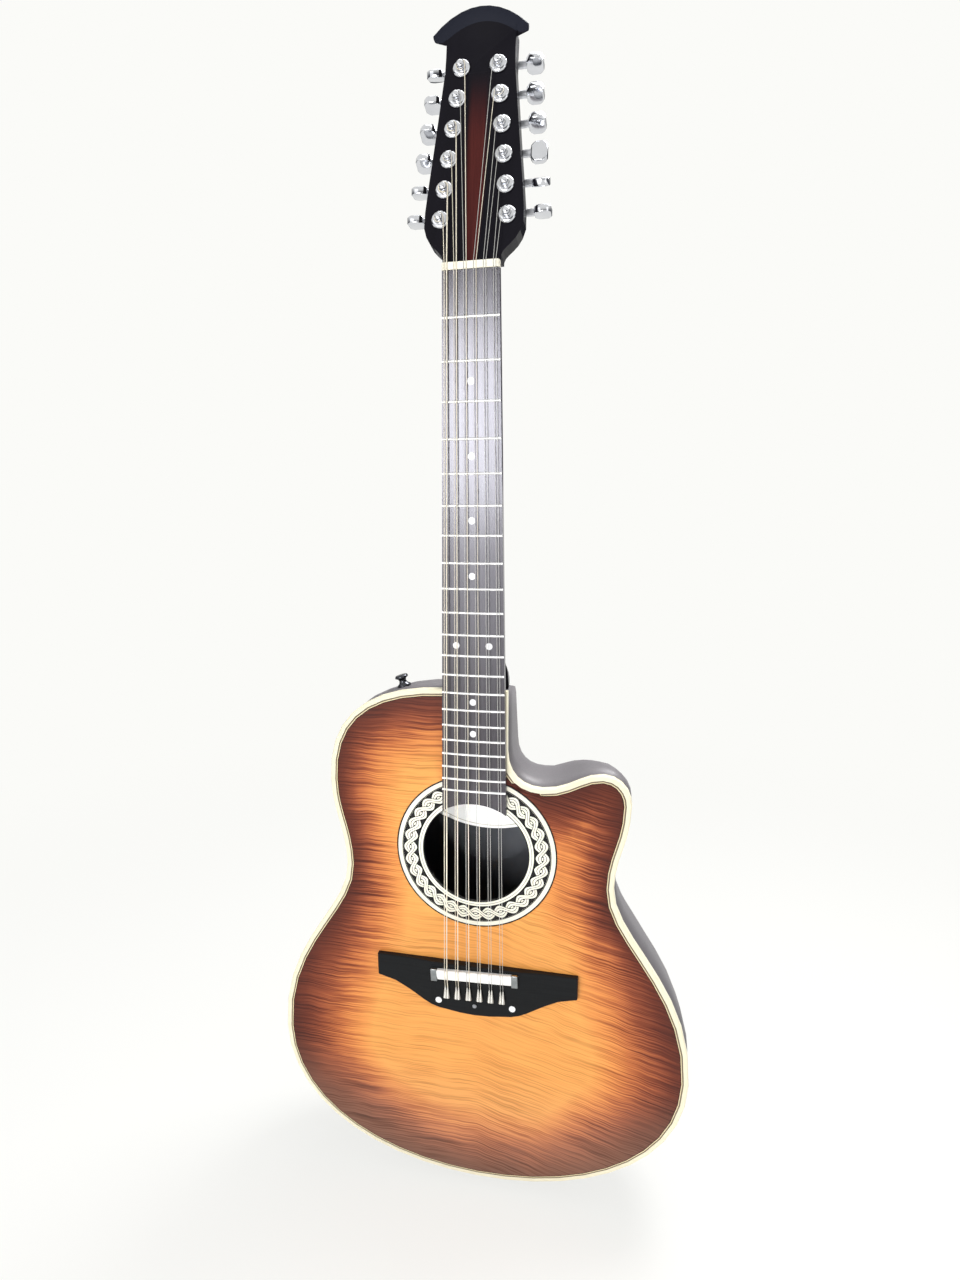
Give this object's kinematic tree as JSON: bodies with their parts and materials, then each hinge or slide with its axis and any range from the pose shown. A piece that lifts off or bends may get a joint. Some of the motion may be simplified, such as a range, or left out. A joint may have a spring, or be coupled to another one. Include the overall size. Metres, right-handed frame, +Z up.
{
  "type": "twelve-string acoustic guitar",
  "caption": "Roundback cutaway acoustic guitar with paired steel strings, sunburst figured top, ringed soundhole, slanted saddle and two rows of geared tuners.",
  "frame": {"origin": "centre of the end button's flat outer face, at the tail of the body", "axes": "+Z runs up the neck from tail to headstock, -Y is the way the soundboard and strings face, +X is the treble side with the cutaway"},
  "size_m": [0.4186, 0.1635, 1.1054],
  "materials": {
    "bowl": "fine-textured moulded composite, dark grey",
    "soundboard": "figured veneer under gloss lacquer, golden centre fading to dark red-brown edge",
    "binding": "cream, glossy",
    "rosette": "cream ground with a black traditional ornament, lacquered",
    "neck": "black gloss lacquer with a dark red stripe on the headstock face",
    "fingerboard": "dark oiled wood with nickel-silver frets",
    "nut": "white bone-like",
    "bridge": "black, satin",
    "saddle": "white in a silver channel",
    "string": "plain and bronze-wound steel",
    "chrome": "polished chrome"
  },
  "bodies": {
    "guitar": {"bowl": "bowl", "soundboard": "soundboard", "binding": "binding", "rosette": "rosette", "neck": "neck", "fingerboard": "fingerboard", "nut": "nut", "bridge": "bridge", "saddle": "saddle", "end_button": "chrome", "strap_button": "chrome", "string_01": "string", "string_02": "string", "string_03": "string", "string_04": "string", "string_05": "string", "string_06": "string", "string_07": "string", "string_08": "string", "string_09": "string", "string_10": "string", "string_11": "string", "string_12": "string", "tuner_treble_1": "chrome", "tuner_treble_2": "chrome", "tuner_treble_3": "chrome", "tuner_treble_4": "chrome", "tuner_treble_5": "chrome", "tuner_treble_6": "chrome", "tuner_bass_1": "chrome", "tuner_bass_2": "chrome", "tuner_bass_3": "chrome", "tuner_bass_4": "chrome", "tuner_bass_5": "chrome", "tuner_bass_6": "chrome"},
    "post_treble_1": {"post_treble_1": "chrome"},
    "knob_treble_1": {"knob_treble_1": "chrome"},
    "post_treble_2": {"post_treble_2": "chrome"},
    "knob_treble_2": {"knob_treble_2": "chrome"},
    "post_treble_3": {"post_treble_3": "chrome"},
    "knob_treble_3": {"knob_treble_3": "chrome"},
    "post_treble_4": {"post_treble_4": "chrome"},
    "knob_treble_4": {"knob_treble_4": "chrome"},
    "post_treble_5": {"post_treble_5": "chrome"},
    "knob_treble_5": {"knob_treble_5": "chrome"},
    "post_treble_6": {"post_treble_6": "chrome"},
    "knob_treble_6": {"knob_treble_6": "chrome"},
    "post_bass_1": {"post_bass_1": "chrome"},
    "knob_bass_1": {"knob_bass_1": "chrome"},
    "post_bass_2": {"post_bass_2": "chrome"},
    "knob_bass_2": {"knob_bass_2": "chrome"},
    "post_bass_3": {"post_bass_3": "chrome"},
    "knob_bass_3": {"knob_bass_3": "chrome"},
    "post_bass_4": {"post_bass_4": "chrome"},
    "knob_bass_4": {"knob_bass_4": "chrome"},
    "post_bass_5": {"post_bass_5": "chrome"},
    "knob_bass_5": {"knob_bass_5": "chrome"},
    "post_bass_6": {"post_bass_6": "chrome"},
    "knob_bass_6": {"knob_bass_6": "chrome"}
  },
  "joints": [
    {"name": "knob_treble_1_turn", "type": "hinge", "parent": "guitar", "child": "knob_treble_1", "pos_m": [0.0276, -0.01204, 0.95031], "axis": [1, 0, 0], "continuous": true},
    {"name": "post_treble_1_turn", "type": "hinge", "parent": "guitar", "child": "post_treble_1", "pos_m": [0.0276, -0.03391, 0.94546], "axis": [0, -0.9703, 0.2419], "continuous": true},
    {"name": "knob_treble_2_turn", "type": "hinge", "parent": "guitar", "child": "knob_treble_2", "pos_m": [0.02508, -0.00623, 0.9736], "axis": [1, 0, 0], "continuous": true},
    {"name": "post_treble_2_turn", "type": "hinge", "parent": "guitar", "child": "post_treble_2", "pos_m": [0.02508, -0.02811, 0.96875], "axis": [0, -0.9703, 0.2419], "continuous": true},
    {"name": "knob_treble_3_turn", "type": "hinge", "parent": "guitar", "child": "knob_treble_3", "pos_m": [0.02256, -0.00043, 0.99689], "axis": [1, 0, 0], "continuous": true},
    {"name": "post_treble_3_turn", "type": "hinge", "parent": "guitar", "child": "post_treble_3", "pos_m": [0.02256, -0.0223, 0.99204], "axis": [0, -0.9703, 0.2419], "continuous": true},
    {"name": "knob_treble_4_turn", "type": "hinge", "parent": "guitar", "child": "knob_treble_4", "pos_m": [0.02004, 0.00538, 1.02018], "axis": [1, 0, 0], "continuous": true},
    {"name": "post_treble_4_turn", "type": "hinge", "parent": "guitar", "child": "post_treble_4", "pos_m": [0.02004, -0.01649, 1.01532], "axis": [0, -0.9703, 0.2419], "continuous": true},
    {"name": "knob_treble_5_turn", "type": "hinge", "parent": "guitar", "child": "knob_treble_5", "pos_m": [0.01752, 0.01119, 1.04346], "axis": [1, 0, 0], "continuous": true},
    {"name": "post_treble_5_turn", "type": "hinge", "parent": "guitar", "child": "post_treble_5", "pos_m": [0.01752, -0.01069, 1.03861], "axis": [0, -0.9703, 0.2419], "continuous": true},
    {"name": "knob_treble_6_turn", "type": "hinge", "parent": "guitar", "child": "knob_treble_6", "pos_m": [0.015, 0.01699, 1.06675], "axis": [1, 0, 0], "continuous": true},
    {"name": "post_treble_6_turn", "type": "hinge", "parent": "guitar", "child": "post_treble_6", "pos_m": [0.015, -0.00488, 1.0619], "axis": [0, -0.9703, 0.2419], "continuous": true},
    {"name": "knob_bass_1_turn", "type": "hinge", "parent": "guitar", "child": "knob_bass_1", "pos_m": [-0.0276, -0.01204, 0.95031], "axis": [-1, 0, 0], "continuous": true},
    {"name": "post_bass_1_turn", "type": "hinge", "parent": "guitar", "child": "post_bass_1", "pos_m": [-0.0276, -0.03391, 0.94546], "axis": [0, -0.9703, 0.2419], "continuous": true},
    {"name": "knob_bass_2_turn", "type": "hinge", "parent": "guitar", "child": "knob_bass_2", "pos_m": [-0.02508, -0.00623, 0.9736], "axis": [-1, 0, 0], "continuous": true},
    {"name": "post_bass_2_turn", "type": "hinge", "parent": "guitar", "child": "post_bass_2", "pos_m": [-0.02508, -0.02811, 0.96875], "axis": [0, -0.9703, 0.2419], "continuous": true},
    {"name": "knob_bass_3_turn", "type": "hinge", "parent": "guitar", "child": "knob_bass_3", "pos_m": [-0.02256, -0.00043, 0.99689], "axis": [-1, 0, 0], "continuous": true},
    {"name": "post_bass_3_turn", "type": "hinge", "parent": "guitar", "child": "post_bass_3", "pos_m": [-0.02256, -0.0223, 0.99204], "axis": [0, -0.9703, 0.2419], "continuous": true},
    {"name": "knob_bass_4_turn", "type": "hinge", "parent": "guitar", "child": "knob_bass_4", "pos_m": [-0.02004, 0.00538, 1.02018], "axis": [-1, 0, 0], "continuous": true},
    {"name": "post_bass_4_turn", "type": "hinge", "parent": "guitar", "child": "post_bass_4", "pos_m": [-0.02004, -0.01649, 1.01532], "axis": [0, -0.9703, 0.2419], "continuous": true},
    {"name": "knob_bass_5_turn", "type": "hinge", "parent": "guitar", "child": "knob_bass_5", "pos_m": [-0.01752, 0.01119, 1.04346], "axis": [-1, 0, 0], "continuous": true},
    {"name": "post_bass_5_turn", "type": "hinge", "parent": "guitar", "child": "post_bass_5", "pos_m": [-0.01752, -0.01069, 1.03861], "axis": [0, -0.9703, 0.2419], "continuous": true},
    {"name": "knob_bass_6_turn", "type": "hinge", "parent": "guitar", "child": "knob_bass_6", "pos_m": [-0.015, 0.01699, 1.06675], "axis": [-1, 0, 0], "continuous": true},
    {"name": "post_bass_6_turn", "type": "hinge", "parent": "guitar", "child": "post_bass_6", "pos_m": [-0.015, -0.00488, 1.0619], "axis": [0, -0.9703, 0.2419], "continuous": true}
  ],
  "couplings": [
    {"joint": "post_treble_1_turn", "follows": "knob_treble_1_turn", "ratio": 0.071429},
    {"joint": "post_treble_2_turn", "follows": "knob_treble_2_turn", "ratio": 0.071429},
    {"joint": "post_treble_3_turn", "follows": "knob_treble_3_turn", "ratio": 0.071429},
    {"joint": "post_treble_4_turn", "follows": "knob_treble_4_turn", "ratio": 0.071429},
    {"joint": "post_treble_5_turn", "follows": "knob_treble_5_turn", "ratio": 0.071429},
    {"joint": "post_treble_6_turn", "follows": "knob_treble_6_turn", "ratio": 0.071429},
    {"joint": "post_bass_1_turn", "follows": "knob_bass_1_turn", "ratio": -0.071429},
    {"joint": "post_bass_2_turn", "follows": "knob_bass_2_turn", "ratio": -0.071429},
    {"joint": "post_bass_3_turn", "follows": "knob_bass_3_turn", "ratio": -0.071429},
    {"joint": "post_bass_4_turn", "follows": "knob_bass_4_turn", "ratio": -0.071429},
    {"joint": "post_bass_5_turn", "follows": "knob_bass_5_turn", "ratio": -0.071429},
    {"joint": "post_bass_6_turn", "follows": "knob_bass_6_turn", "ratio": -0.071429}
  ]
}
